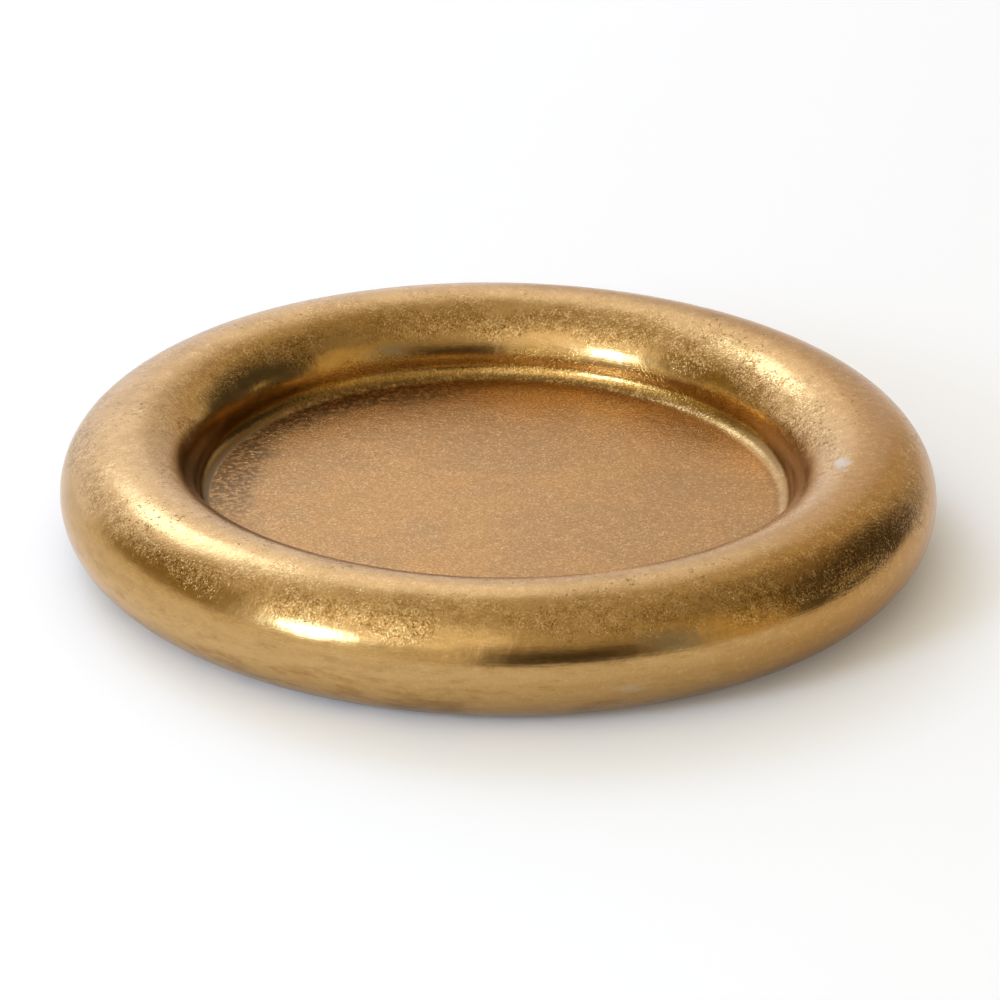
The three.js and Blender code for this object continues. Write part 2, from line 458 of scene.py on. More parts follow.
pad_in_pocket = [
    (pad_radius - SQUEEZE, POCKET_LEVEL),
    (pad_radius - SQUEEZE, pad_top - TOP_EASE),
    (pad_radius - SQUEEZE - TOP_EASE, pad_top),
    (pad_radius / 2, pad_top),
    (0, pad_top),
]
pad_chain = outline(pad_underside + pad_edge + pad_side + pad_in_pocket)
print("pad section:", len(pad_chain), "points")

# %% Model the pads
NAP = 0.00006  # unevenness of the felt
NAP_SCALE = 1400
PAD_STEPS = 72
FELT_CREASE = 60


def model_pad(number):
    """A felt disc under the ring, midway between two screws"""
    shape = bmesh.new()
    turn(shape, pad_chain, PAD_STEPS)
    place_around(shape, shape.verts, math.tau * (number - 0.5) / SCREW_COUNT)
    shape.normal_update()
    for vert in shape.verts:
        if 0 < vert.co.z < pad_top - SQUEEZE - TOP_EASE:
            vert.co += vert.normal * NAP * noise.noise(vert.co * NAP_SCALE)
    soften(shape, FELT_CREASE)
    pad = make_piece(shape, f"felt_pad_{number}", f"foot_pad_{number}")
    return pad


pads = [model_pad(number) for number in range(1, SCREW_COUNT + 1)]

# %% [markdown]
# ## Building finishes from nodes
# A finish on a real object is several things at once: a colour, a gloss and a fine relief. In
# Blender each is a small graph of nodes. Writing every node by hand is long, so a few helpers add a
# node and join it up in one line. A zone or a share is a value from 0 to 1, all over the surface.

# %% Helpers that join nodes
def add(tree, kind, inputs, **settings):
    """Adds a shader node, sets or links its inputs, and returns its outputs"""
    made = tree.nodes.new("ShaderNode" + kind)
    for key, value in settings.items():
        setattr(made, key, value)
    for key, value in inputs.items():
        if isinstance(value, bpy.types.NodeSocket):
            tree.links.new(value, made.inputs[key])
        else:
            made.inputs[key].default_value = value
    return made.outputs


def chain(tree, operation, values):
    """Joins values one after the other with Math nodes"""
    joined, *others = values
    for value in others:
        joined = add(tree, "Math", {0: joined, 1: value}, operation=operation)[0]
    return joined


def sum_of(tree, *values):
    return chain(tree, "ADD", values)


def product(tree, *values):
    return chain(tree, "MULTIPLY", values)


def largest(tree, *values):
    return chain(tree, "MAXIMUM", values)


def fade(tree, value, start, end, low=0.0, high=1.0):
    """Goes smoothly from low to high while the value goes from start to end"""
    inputs = {"Value": value, "From Min": start, "From Max": end, "To Min": low, "To Max": high}
    return add(tree, "MapRange", inputs, interpolation_type="SMOOTHSTEP")[0]


def by_zone(tree, zone, outside, inside):
    """One value outside a zone and another one inside it"""
    return fade(tree, zone, 0, 1, outside, inside)


def mixed(tree, share, first, second):
    """The first colour, with this share of the second"""
    return add(tree, "Mix", {0: share, 6: first, 7: second}, data_type="RGBA")[2]


# %% Helpers for places and patterns
FLAT = (1, 1, 0)


def object_place(tree):
    return add(tree, "TexCoord", {})["Object"]


def scaled(tree, place, factors):
    return add(tree, "VectorMath", {0: place, 1: factors}, operation="MULTIPLY")[0]


def along(tree, place, direction):
    """How far a place lies in a direction"""
    return add(tree, "VectorMath", {0: place, 1: direction}, operation="DOT_PRODUCT")["Value"]


def distance_from_axis(tree, place):
    flat_place = scaled(tree, place, FLAT)
    return add(tree, "VectorMath", {0: flat_place}, operation="LENGTH")["Value"]


def grain(tree, place, scale, detail=2.0, roughness=0.5):
    inputs = {"Vector": place, "Scale": scale, "Detail": detail, "Roughness": roughness}
    return add(tree, "TexNoise", inputs)[0]


def relief(tree, height, depth, strength=1.0, below=None):
    """A bump of this depth in metres, on top of another one"""
    inputs = {"Height": height, "Distance": depth, "Strength": strength}
    if below is not None:
        inputs["Normal"] = below
    return add(tree, "Bump", inputs)[0]


# %% Helpers for materials
def new_finish(name):
    finish = bpy.data.materials.new(name)
    finish.use_nodes = True
    return finish, finish.node_tree, finish.node_tree.nodes["Principled BSDF"]


def connect(tree, shader, **sockets):
    """Links outputs to the shader's sockets, named with _ for a space"""
    for name, output in sockets.items():
        tree.links.new(output, shader.inputs[name.replace("_", " ")])


# %% [markdown]
# ## Antique brass on cast metal
# The tray is cast, plated or lacquered in a brass tone, then rubbed. The sides of the rim are
# polished, with fine lines around them. The slopes keep the sand's grain in patches, the crest less
# of it, and the floor is matt and grainy. One material with zones is simpler than several that have
# to meet. The zones come from Object coordinates: the distance from the axis and the height above
# the table, made ragged by slow noise.

# %% Zones of the casting
# A pair of limits says where a zone begins and where it is complete.
NOISE_SPAN = (0.3, 0.7)  # most values of a noise lie between these
PATCH_SCALE = 30
PATCHY = (0.36, 0.62)  # noise values between which a patch keeps its grain
RAGGED = 0.004  # how far the noise moves the borders of the zones up and down
SLOPE_HEIGHTS = (0.0365, 0.0440)  # from the polished side to the grainy slope
CREST_HEIGHTS = (0.0465, 0.0500)
WELL_HEIGHTS = (0.0345, 0.0305)
WALL_RADII = (0.1275, 0.1250)
FLOOR_RADII = (0.1175, 0.1150)
FLOOR_EDGE_RADII = (0.092, 0.110)
RIGHT_SIDE = (0.02, 0.11)
SLOPE_DROP = 0.005  # on the right side the grain reaches lower
BACK_SIDE = (0.02, 0.10)
BACK_LEFT = (-0.3, 1, 0)
BACK_LEFT_REACH = (0, 0.09)

brass, tree, shader = new_finish("antique_brass")
place = object_place(tree)
axes = add(tree, "SeparateXYZ", {0: place})
height = axes["Z"]
well_place = add(tree, "VectorMath", {0: place, 1: WELL_OFFSET}, operation="SUBTRACT")[0]
from_axis = distance_from_axis(tree, well_place)
patches = grain(tree, place, PATCH_SCALE, detail=4, roughness=0.6)
ragged_height = sum_of(tree, height, fade(tree, patches, *NOISE_SPAN, low=-RAGGED, high=RAGGED))
less_rubbed = fade(tree, axes["X"], *RIGHT_SIDE, low=0, high=SLOPE_DROP)
on_slope = fade(tree, sum_of(tree, ragged_height, less_rubbed), *SLOPE_HEIGHTS)
on_crest = fade(tree, ragged_height, *CREST_HEIGHTS)
low_in_well = fade(tree, ragged_height, *WELL_HEIGHTS)
on_wall = product(tree, fade(tree, from_axis, *WALL_RADII), low_in_well)
on_floor = fade(tree, from_axis, *FLOOR_RADII)
at_back = fade(tree, axes["Y"], *BACK_SIDE)
back_left = fade(tree, along(tree, place, BACK_LEFT), *BACK_LEFT_REACH)
floor_edge = product(tree, fade(tree, from_axis, *FLOOR_EDGE_RADII), back_left, on_floor)
rough_patch = fade(tree, patches, *PATCHY, low=0.40, high=1.0)
slope_grain = product(tree, on_slope, rough_patch, by_zone(tree, on_crest, outside=1, inside=0.2))
wall_grain = product(tree, on_wall, by_zone(tree, at_back, outside=0.1, inside=0.5))
cast_grain = largest(tree, slope_grain, wall_grain)
print("zones:", len(tree.nodes), "nodes")

# %% [markdown]
# ### The skin
# Sand leaves a fine grain, with deeper hollows and a few clusters of pits, and the polishing wheel
# draws lines around the rim. Modelled, these would take millions of faces. A chain of bumps gives
# the same play of light. Each bump lies on the one before it, and the zones set how strong it is.

# %% Grain, pits and polishing lines
DENT_SCALE = 160
DENT_DEPTH = 0.00013
SAND_SCALE = 1150
SAND_DEPTH = 0.00025
HOLLOW_SCALE = 900
HOLLOW_DEPTH = 0.0001
HOLLOW_LIMITS = (0.51, 0.70)
LINE_SCALES = (60, 60, 1300)  # long around the rim and fine across it
LINE_DEPTH = 0.00003
LINE_LIMITS = (0, 0.6)  # shares of cast grain between which the lines give way to it
PIT_SCALE = 560
PIT_DEPTH = 0.0003
PIT_LIMITS = (0.64, 0.70)
CLUSTER_SCALE = 34
CLUSTER_LIMITS = (0.49, 0.60)
POLISHED_SAND = 0.05  # strength of the sand on the polished rim
GRAINY_SAND = 0.21  # what the cast grain adds to it
CORNER_HEIGHTS = (0.0275, 0.0235)
CORNER_RADII = (0.1265, 0.1215)

sand = grain(tree, place, SAND_SCALE, detail=2, roughness=0.6)
hollows = fade(tree, grain(tree, place, HOLLOW_SCALE, detail=3, roughness=0.55), *HOLLOW_LIMITS)
shown_hollows = product(tree, hollows, cast_grain, by_zone(tree, on_floor, outside=1, inside=0.15))
lines = grain(tree, scaled(tree, place, LINE_SCALES), 1, detail=4, roughness=0.6)
cluster = fade(tree, grain(tree, place, CLUSTER_SCALE, detail=3), *CLUSTER_LIMITS)
pits = fade(tree, grain(tree, place, PIT_SCALE, detail=2), *PIT_LIMITS)
pits = product(tree, pits, on_slope, cluster)

in_corner = fade(tree, from_axis, *CORNER_RADII)
corner_sand = product(tree, fade(tree, height, *CORNER_HEIGHTS), in_corner)
corner_sand = product(tree, corner_sand, by_zone(tree, at_back, outside=0.1, inside=0.55))
floor_sand = product(tree, on_floor, by_zone(tree, floor_edge, outside=0.45, inside=1.0))
rim_sand = sum_of(tree, POLISHED_SAND, product(tree, cast_grain, GRAINY_SAND))
sand_share = largest(tree, floor_sand, rim_sand, corner_sand)
line_share = fade(tree, cast_grain, *LINE_LIMITS, low=1, high=0.15)

skin = relief(tree, grain(tree, place, DENT_SCALE, detail=2), DENT_DEPTH)
skin = relief(tree, sand, SAND_DEPTH, sand_share, skin)
skin = relief(tree, product(tree, shown_hollows, -1.0), HOLLOW_DEPTH, below=skin)
skin = relief(tree, lines, LINE_DEPTH, line_share, skin)
skin = relief(tree, product(tree, pits, -1.0), PIT_DEPTH, below=skin)
print("skin:", len(tree.nodes), "nodes")

# %% [markdown]
# ### The tones of the rim
# An antique finish is never one colour. Low on the rim its tone is also a painted reflection, paler
# towards the front left for a lit table and darker elsewhere for shade, and the outer wall on the
# right is painted darker and warmer as shade. A painted texture would give each stain its place, but
# it would need a picture file.
# Noise that is stretched around the rim makes stains and streaks of the same kind, and the tones
# are mixed one over the other.

# %% Tones of the rim
BRASS = (0.505, 0.306, 0.112, 1)
DEEP_BRASS = (0.420, 0.245, 0.085, 1)
# Pale brass: the pale streaks, and painted light low on the rim at the front left.
PALE_STREAK_AND_LIT_BRASS = (0.600, 0.390, 0.165, 1)
# Ruddy brass: painted shade on the right side of the outer wall.
RUDDY_SHADE_BRASS = (0.425, 0.222, 0.062, 1)
# Warm brass: painted light on the back wall of the well.
WARM_LIT_BRASS = (0.620, 0.370, 0.100, 1)
# Aged brass: the dark streaks, and painted shade and dark reflections.
DARK_STAIN_AND_SHADE_BRASS = (0.310, 0.165, 0.042, 1)
STAIN_SCALES = (50, 50, 190)
STAIN_LIMITS = (0.42, 0.68)
LIGHT_POOL_SIDE = (-0.7, -0.7, 0)  # the front left, where the low rim is painted paler as the reflection of a lit table
LIGHT_POOL_REACH = (-0.04, 0.17)
LIGHT_POOL_RAGGED = 0.04
LOW_HEIGHTS = (0.031, 0.020)
RUDDY_SHADE_SIDE = (0.07, 0.14)
OUTER_RADII = (0.134, 0.152)

stains = grain(tree, scaled(tree, place, STAIN_SCALES), 1, detail=7, roughness=0.68)
wander = fade(tree, stains, *NOISE_SPAN, low=-LIGHT_POOL_RAGGED, high=LIGHT_POOL_RAGGED)
toward_light_pool = sum_of(tree, along(tree, place, LIGHT_POOL_SIDE), wander)
# Painted reflection: low on the rim the tone is paler towards the front left, for a lit table, and
# darker elsewhere, for the table in shade.
low_painted_reflection = mixed(tree, fade(tree, toward_light_pool, *LIGHT_POOL_REACH), DARK_STAIN_AND_SHADE_BRASS, PALE_STREAK_AND_LIT_BRASS)
rim_colour = mixed(tree, fade(tree, height, *LOW_HEIGHTS, low=0, high=0.75), BRASS, low_painted_reflection)
rim_colour = mixed(tree, fade(tree, stains, *STAIN_LIMITS, low=0, high=0.9), rim_colour, DEEP_BRASS)
outside = fade(tree, from_axis, *OUTER_RADII, low=0, high=0.9)
# Painted shade: the outer wall on the right side is darker and warmer, for the shaded side of the
# room it mirrors.
ruddy_shade = product(tree, fade(tree, axes["X"], *RUDDY_SHADE_SIDE), outside)
rim_colour = mixed(tree, ruddy_shade, rim_colour, RUDDY_SHADE_BRASS)
print("tones of the rim:", len(tree.nodes), "nodes")

# %% Streaks of the rim, a painted dark reflection on the back slope and painted light on the back wall
STREAK_SCALES = (90, 90, 420)
STREAK_HEIGHTS = (0.041, 0.036)
DARK_STREAKS = (0.52, 0.70)
PALE_STREAKS = (0.48, 0.30)
DARK_REFLECTION_HEIGHTS = (0.0415, 0.0455)
LIT_WALL_HEIGHTS = (0.0220, 0.0245)

streaks = grain(tree, scaled(tree, place, STREAK_SCALES), 1, detail=7, roughness=0.72)
low_on_rim = fade(tree, ragged_height, *STREAK_HEIGHTS)
dark_streaks = product(tree, low_on_rim, fade(tree, streaks, *DARK_STREAKS, low=0, high=0.45))
pale_streaks = product(tree, low_on_rim, fade(tree, streaks, *PALE_STREAKS, low=0, high=0.25))
rim_colour = mixed(tree, dark_streaks, rim_colour, DARK_STAIN_AND_SHADE_BRASS)
rim_colour = mixed(tree, pale_streaks, rim_colour, PALE_STREAK_AND_LIT_BRASS)
# Painted reflection: a darker band high on the back slope, in its grainy patches.
back_slope_dark_reflection = product(tree, slope_grain, at_back, fade(tree, height, *DARK_REFLECTION_HEIGHTS, low=0, high=0.65))
rim_colour = mixed(tree, back_slope_dark_reflection, rim_colour, DARK_STAIN_AND_SHADE_BRASS)
# Painted light: the back wall of the well, above its corner, is lighter and warmer, as a brighter
# reflection.
back_wall_painted_light = product(tree, on_wall, fade(tree, height, *LIT_WALL_HEIGHTS))
back_wall_painted_light = product(tree, back_wall_painted_light, by_zone(tree, at_back, outside=0, inside=0.6))
rim_colour = mixed(tree, back_wall_painted_light, rim_colour, WARM_LIT_BRASS)
print("streaks:", len(tree.nodes), "nodes")

# %% [markdown]
# ### The floor and the grain
# The floor is a duller, cloudy brass. On the floor and on the slopes the tops of the grain are
# rubbed bright and its hollows keep the dark finish. A strong bump would show that too, but it
# sparkles, so most of the grain is in the colour: the same noise that raises the sand also picks
# the pale flecks and the dark specks.

# %% Tones of the floor, flecks and dark grain
FLOOR_BRASS = (0.442, 0.222, 0.060, 1)
DULL_FLOOR = (0.370, 0.198, 0.064, 1)
PALE_FLECK = (0.720, 0.490, 0.225, 1)
FLOOR_FLECK = (0.660, 0.415, 0.170, 1)
DARK_GRAIN = (0.270, 0.128, 0.024, 1)
CLOUD_SCALE = 24
CLOUD_LIMITS = (0.36, 0.64)
UNEVEN_SCALE = 260
UNEVEN_SPAN = (0.25, 0.75)
UNEVEN = 0.11  # how far a slower noise shifts the grain, so that it clumps
POLISHED_FLECKS = 0.25  # share of the flecks on the polished rim
GRAINY_FLECKS = 0.75  # what the cast grain adds to it
FLECK_LIMITS = (0.525, 0.68)
DARK_LIMITS = (0.48, 0.325)

clouds = grain(tree, place, CLOUD_SCALE, detail=6, roughness=0.6)
floor_colour = mixed(tree, fade(tree, clouds, *CLOUD_LIMITS), FLOOR_BRASS, DULL_FLOOR)
colour = mixed(tree, on_floor, rim_colour, floor_colour)
clumps = grain(tree, place, UNEVEN_SCALE, detail=3, roughness=0.6)
uneven = fade(tree, clumps, *UNEVEN_SPAN, low=-UNEVEN, high=UNEVEN)
specks = sum_of(tree, sand, product(tree, uneven, by_zone(tree, on_floor, outside=1.0, inside=0.3)))
rim_rubbed = sum_of(tree, POLISHED_FLECKS, product(tree, cast_grain, GRAINY_FLECKS))
floor_rubbed = product(tree, on_floor, by_zone(tree, floor_edge, outside=0.75, inside=1.0))
rubbed = largest(tree, rim_rubbed, floor_rubbed)
fleck = mixed(tree, on_floor, PALE_FLECK, FLOOR_FLECK)
flecks = product(tree, rubbed, fade(tree, specks, *FLECK_LIMITS, low=0, high=0.85))
colour = mixed(tree, flecks, colour, fleck)
floor_grain = product(tree, on_floor, by_zone(tree, floor_edge, outside=0.5, inside=1.0))
dark_grain = product(tree, largest(tree, cast_grain, floor_grain), fade(tree, specks, *DARK_LIMITS))
colour = mixed(tree, dark_grain, colour, DARK_GRAIN)
print("tones of the floor:", len(tree.nodes), "nodes")

# %% [markdown]
# ### Patina and painted shade
# Polish and dust gather in the hollows and pits of the grain, where a cloth doesn't reach. The same
# dark tone is painted as shade: along the left wall, the corner and the crease of the well, on the
# edge of the floor at the back left, and near the foot. An ambient occlusion node could find such
# corners, but it can't tell one side of the well from the other. The zones can, and noise breaks up
# their borders. Patina and painted shade are one mask, so that the dark tone is never laid on twice.

# %% Painted shade in the well
CREASE_REACH = (0.0026, 0.0004)  # distance from the line between the floor and its corner
LEFT_WALL = (-0.02, -0.11)
FAR_LEFT = (-0.06, -0.11)
LEFT_FOOT = (0.0240, 0.0215)
RIGHT_FOOT = (0.0285, 0.0240)
BACK_FOOT = (0.0236, 0.0216)
RIGHT_STRETCH = (0.91, 0.42, 0)
RIGHT_STRETCH_REACH = (0.1125, 0.1185)
SPECK_LIMITS = (0.42, 0.58)

# Painted shade: a dark line in the crease between the floor and its corner, fainter at the back.
from_crease = add(tree, "Math", {0: from_axis, 1: floor_radius}, operation="SUBTRACT")[0]
from_crease = add(tree, "Math", {0: from_crease}, operation="ABSOLUTE")[0]
in_crease = product(tree, low_in_well, fade(tree, from_crease, *CREASE_REACH))
crease_shade = product(tree, in_crease, by_zone(tree, at_back, outside=0.25, inside=0.12))
# Painted shade: the left wall of the well is darker, as a dark reflection.
left_wall_shade = product(tree, fade(tree, axes["X"], *LEFT_WALL, low=0, high=0.65), low_in_well)
# Painted shade: the lower part of the corner of the well is darker on the left, the right and the
# back.
low_left = product(tree, fade(tree, height, *LEFT_FOOT), fade(tree, axes["X"], *FAR_LEFT))
on_right = fade(tree, along(tree, place, RIGHT_STRETCH), *RIGHT_STRETCH_REACH, low=0, high=0.5)
low_right = product(tree, fade(tree, height, *RIGHT_FOOT), on_right)
on_back = by_zone(tree, at_back, outside=0.1, inside=0.6)
between_specks = fade(tree, specks, *SPECK_LIMITS, low=1, high=0.45)
low_back = product(tree, fade(tree, height, *BACK_FOOT), on_back, between_specks)
corner_shade = largest(tree, left_wall_shade, low_left, low_right, low_back)
corner_shade = product(tree, corner_shade, in_corner, by_zone(tree, on_floor, outside=1, inside=0))
print("dirt in the well:", len(tree.nodes), "nodes")

# %% Painted shade on the floor and at the foot, and patina in the grain
# The dark tone of the patina, also used for painted shade.
PATINA_AND_SHADE_TONE = (0.115, 0.060, 0.014, 1)
SHADED_FLOOR_RADII = (0.096, 0.108)
SHADED_FLOOR_END_RADII = (0.1215, 0.1185)
FLOOR_SHADE_RAGGED = 0.005
CLOUD_SPAN = (0.35, 0.65)
LEFT_STRETCH = (-0.8, 0.6, 0)
LEFT_STRETCH_REACH = (0.03, 0.10)
COARSE_SCALE = 400
COARSE_LIMITS = (0.44, 0.60)
HOLLOW_DIRT = 0.18
PIT_DIRT = 0.5
FOOT_SHADE_HEIGHTS = (0.020, 0.003)
FOOT_SHADE_LIMITS = (0.35, 0.65)

# Painted shade: the edge of the floor at the back left is darker, as a reflection of the dark wall,
# broken up by coarse grain.
wander = fade(tree, clouds, *CLOUD_SPAN, low=-FLOOR_SHADE_RAGGED, high=FLOOR_SHADE_RAGGED)
back_left_floor_shade = fade(tree, sum_of(tree, from_axis, wander), *SHADED_FLOOR_RADII)
back_left_floor_shade = product(tree, back_left_floor_shade, fade(tree, from_axis, *SHADED_FLOOR_END_RADII))
on_left = fade(tree, along(tree, place, LEFT_STRETCH), *LEFT_STRETCH_REACH, low=0, high=0.85)
coarse_grain = grain(tree, place, COARSE_SCALE, detail=3, roughness=0.6)
between_grains = fade(tree, coarse_grain, *COARSE_LIMITS, low=1.0, high=0.15)
back_left_floor_shade = product(tree, back_left_floor_shade, on_left, between_grains)
hollow_dirt = product(tree, shown_hollows, HOLLOW_DIRT)
pit_dirt = product(tree, pits, PIT_DIRT)
# Painted shade: the casting is darker near the table, as a reflection of the tray's own shadow, made
# uneven by the stains.
uneven_foot_shade = fade(tree, stains, *FOOT_SHADE_LIMITS, low=0.30, high=0.75)
foot_shade = product(tree, fade(tree, height, *FOOT_SHADE_HEIGHTS), uneven_foot_shade)
# Patina in the hollows and pits, and painted shade in the well and near the foot, as one mask.
patina_and_shade = largest(tree, crease_shade, corner_shade, back_left_floor_shade, hollow_dirt, pit_dirt, foot_shade)
colour = mixed(tree, patina_and_shade, colour, PATINA_AND_SHADE_TONE)
print("dirt:", len(tree.nodes), "nodes")

# %% [markdown]
# ### Scuffs
# Where the tray was knocked, the finish is gone and the pale metal shows. Each mark could be a
# small decal. A distance from a point, made ragged by the stains, needs no picture and stays in
# place on the surface.

# %% Scuffs
BARE_METAL = (0.520, 0.470, 0.390, 1)
SCUFFS = [  # the place, the reach and the strength of each
    ((0.1369, -0.0289, 0.0493), 0.0060, 0.75),
    ((0.1378, -0.0398, 0.0503), 0.0022, 0.45),
    ((0.0885, -0.1478, 0.0097), 0.0070, 0.25),
    ((0.0500, -0.1705, 0.0187), 0.0085, 0.30),
]
FLATTENED = Vector((1, 1, 3))  # scuffs are long and low
SCUFF_RAGGED = 0.7  # share of its reach by which a scuff's outline wanders


def scuff(centre, reach, share):
    """A ragged mark around a point"""
    flat_centre = Vector(centre) * FLATTENED
    flattened = scaled(tree, place, FLATTENED)
    away = add(tree, "VectorMath", {0: flattened, 1: flat_centre}, operation="DISTANCE")["Value"]
    wander = SCUFF_RAGGED * reach
    ragged = sum_of(tree, away, fade(tree, stains, *NOISE_SPAN, low=-wander, high=wander))
    return fade(tree, ragged, reach, 0, low=0, high=share)


scuffed = largest(tree, *[scuff(*mark) for mark in SCUFFS])
colour = mixed(tree, scuffed, colour, BARE_METAL)
print("scuffs:", len(SCUFFS))

# %% [markdown]
# ### Gloss
# Polished sides mirror the room almost sharply, slopes and floor a little less, and scuffs least. A
# coat of lacquer in the shader would grey the brass, so the metal itself carries the gloss, with a
# warm tint where it is seen edge-on.

# %% Gloss of the casting
POLISHED = 0.20
GRAINY = 0.23
FLOOR_DULLNESS = 0.07
SCUFF_DULLNESS = 0.15
EDGE_TINT = (1.0, 0.94, 0.88, 1)
roughness = sum_of(
    tree,
    by_zone(tree, on_slope, outside=POLISHED, inside=GRAINY),
    by_zone(tree, on_floor, outside=0, inside=FLOOR_DULLNESS),
    product(tree, scuffed, SCUFF_DULLNESS),
)
connect(tree, shader, Base_Color=colour, Roughness=roughness, Normal=skin)
shader.inputs["Metallic"].default_value = 1
shader.inputs["Specular Tint"].default_value = EDGE_TINT
casting.data.materials.append(brass)
print("antique brass:", len(tree.nodes), "nodes")

# %% [markdown]
# ## The finish of the ring
# The ring is turned from sheet and finished in a darker, duller brass, with the marks of the lathe
# around it. Anisotropic gloss could stand for these marks. Noise that depends only on the distance
# from the axis draws them as rings, which hold up close to the eye too.

# %% Finish of the ring
RING_BRASS = (0.42, 0.27, 0.12, 1)
RING_TARNISH = (0.30, 0.18, 0.075, 1)
TARNISH_SCALE = 45
LATHE_SCALE = 2600
LATHE_DEPTH = 0.00002
dull_brass, tree, shader = new_finish("dull_brass")
place = object_place(tree)
lathe_place = add(tree, "CombineXYZ", {0: distance_from_axis(tree, place)})[0]
lathe_marks = grain(tree, lathe_place, LATHE_SCALE, detail=3)
tarnish = grain(tree, place, TARNISH_SCALE, detail=4, roughness=0.6)
connect(
    tree,
    shader,
    Base_Color=mixed(tree, fade(tree, tarnish, *NOISE_SPAN), RING_BRASS, RING_TARNISH),
    Roughness=fade(tree, tarnish, *NOISE_SPAN, low=0.32, high=0.46),
    Normal=relief(tree, lathe_marks, LATHE_DEPTH),
)
shader.inputs["Metallic"].default_value = 1
ring.data.materials.append(dull_brass)
print("dull brass:", len(tree.nodes), "nodes")

# %% [markdown]
# ## The finish of the screws
# The screws are plain steel, a little tarnished. They are small and seldom seen, so one slow noise
# for the tarnish and a very fine bump are enough.

# %% Finish of the screws
STEEL = (0.60, 0.57, 0.52, 1)
DULL_STEEL = (0.42, 0.39, 0.35, 1)
STEEL_SCALE = 300
STEEL_LIMITS = (0.35, 0.7)
STEEL_GRAIN_SCALE = 3000
STEEL_GRAIN_DEPTH = 0.000005
steel, tree, shader = new_finish("plain_steel")
place = object_place(tree)
tarnish = grain(tree, place, STEEL_SCALE, detail=3, roughness=0.6)
connect(
    tree,
    shader,
    Base_Color=mixed(tree, fade(tree, tarnish, *STEEL_LIMITS), STEEL, DULL_STEEL),
    Roughness=fade(tree, tarnish, *NOISE_SPAN, low=0.25, high=0.4),
    Normal=relief(tree, grain(tree, place, STEEL_GRAIN_SCALE, detail=2), STEEL_GRAIN_DEPTH),
)
shader.inputs["Metallic"].default_value = 1
for screw in screws:
    screw.data.materials.append(steel)
print("plain steel:", len(tree.nodes), "nodes")

# %% [markdown]
# ## The finish of the pads
# Felt is a mass of wool fibres, so its colour is mottled and its sheen is soft. Hair particles
# would be heavy for pads that hardly show. Two bumps, for tufts and for fibres, and some sheen are
# enough.

# %% Finish of the pads
DARK_WOOL = (0.06, 0.045, 0.035, 1)
LIGHT_WOOL = (0.15, 0.115, 0.09, 1)
WOOL_LIMITS = (0.35, 0.65)
FIBRE_SCALE = 2600
FIBRE_DEPTH = 0.00012
TUFT_SCALE = 700
TUFT_DEPTH = 0.0002
felt, tree, shader = new_finish("brown_felt")
place = object_place(tree)
fibres = grain(tree, place, FIBRE_SCALE, detail=4, roughness=0.7)
tufts = relief(tree, grain(tree, place, TUFT_SCALE, detail=3, roughness=0.6), TUFT_DEPTH)
connect(
    tree,
    shader,
    Base_Color=mixed(tree, fade(tree, fibres, *WOOL_LIMITS), DARK_WOOL, LIGHT_WOOL),
    Normal=relief(tree, fibres, FIBRE_DEPTH, below=tufts),
)
shader.inputs["Roughness"].default_value = 0.95
shader.inputs["Sheen Weight"].default_value = 0.4
shader.inputs["Sheen Roughness"].default_value = 0.6
for pad in pads:
    pad.data.materials.append(felt)
print("brown felt:", len(tree.nodes), "nodes")

# %% [markdown]
# ## The studio
# Polished metal is mostly a picture of the room, so the room is designed with the same care as the
# finish. Directions are given as an angle around the tray, 0 at the camera and positive to the
# right, and an angle above the table.
# The table comes first. It is white and matt, and it glows a little for the camera and in
# reflections only, so that it looks white and still keeps the shadow of the tray.

# %% Table
TABLE_RADIUS = 6
TABLE_SIDES = 96
TABLE_COLOUR = (0.95, 0.95, 0.95, 1)
TABLE_WHITE = 0.10  # light that lifts the table to white for the camera and in reflections
WHITE = (1, 1, 1, 1)


def show_stage(shape, name, finish):
    """Makes the mesh an object of the studio, which is not part of the tray"""
    data = bpy.data.meshes.new(name)
    shape.to_mesh(data)
    shape.free()
    data.materials.append(finish)
    thing = bpy.data.objects.new(name, data)
    bpy.context.scene.collection.objects.link(thing)
    return thing


white, tree, shader = new_finish("white_table")
shader.inputs["Base Color"].default_value = TABLE_COLOUR
shader.inputs["Roughness"].default_value = 0.9
shader.inputs["Specular IOR Level"].default_value = 0
shader.inputs["Emission Color"].default_value = WHITE
rays = add(tree, "LightPath", {})
seen = largest(tree, rays["Is Camera Ray"], rays["Is Glossy Ray"], rays["Is Transmission Ray"])
connect(tree, shader, Emission_Strength=product(tree, seen, TABLE_WHITE))

shape = bmesh.new()
bmesh.ops.create_circle(shape, cap_ends=True, segments=TABLE_SIDES, radius=TABLE_RADIUS)
table = show_stage(shape, "table", white)
print(table.name, "of", 2 * TABLE_RADIUS, "m")

# %% [markdown]
# ### Panels
# Photographers stand panels around shiny things, pale ones for the light and dark ones because a
# dark reflection draws the shape of the metal. Flat cards would do, but curved ones are easier to
# place by angle. Each is a spun line that fades out at its ends and its top, some softly and some
# almost at once. Each hides from the camera, so it shows only in the tray.

# %% Helpers for panels
PANEL_DISTANCE = 2.8
PANEL_STEPS = 24
BLACK = (0, 0, 0, 1)


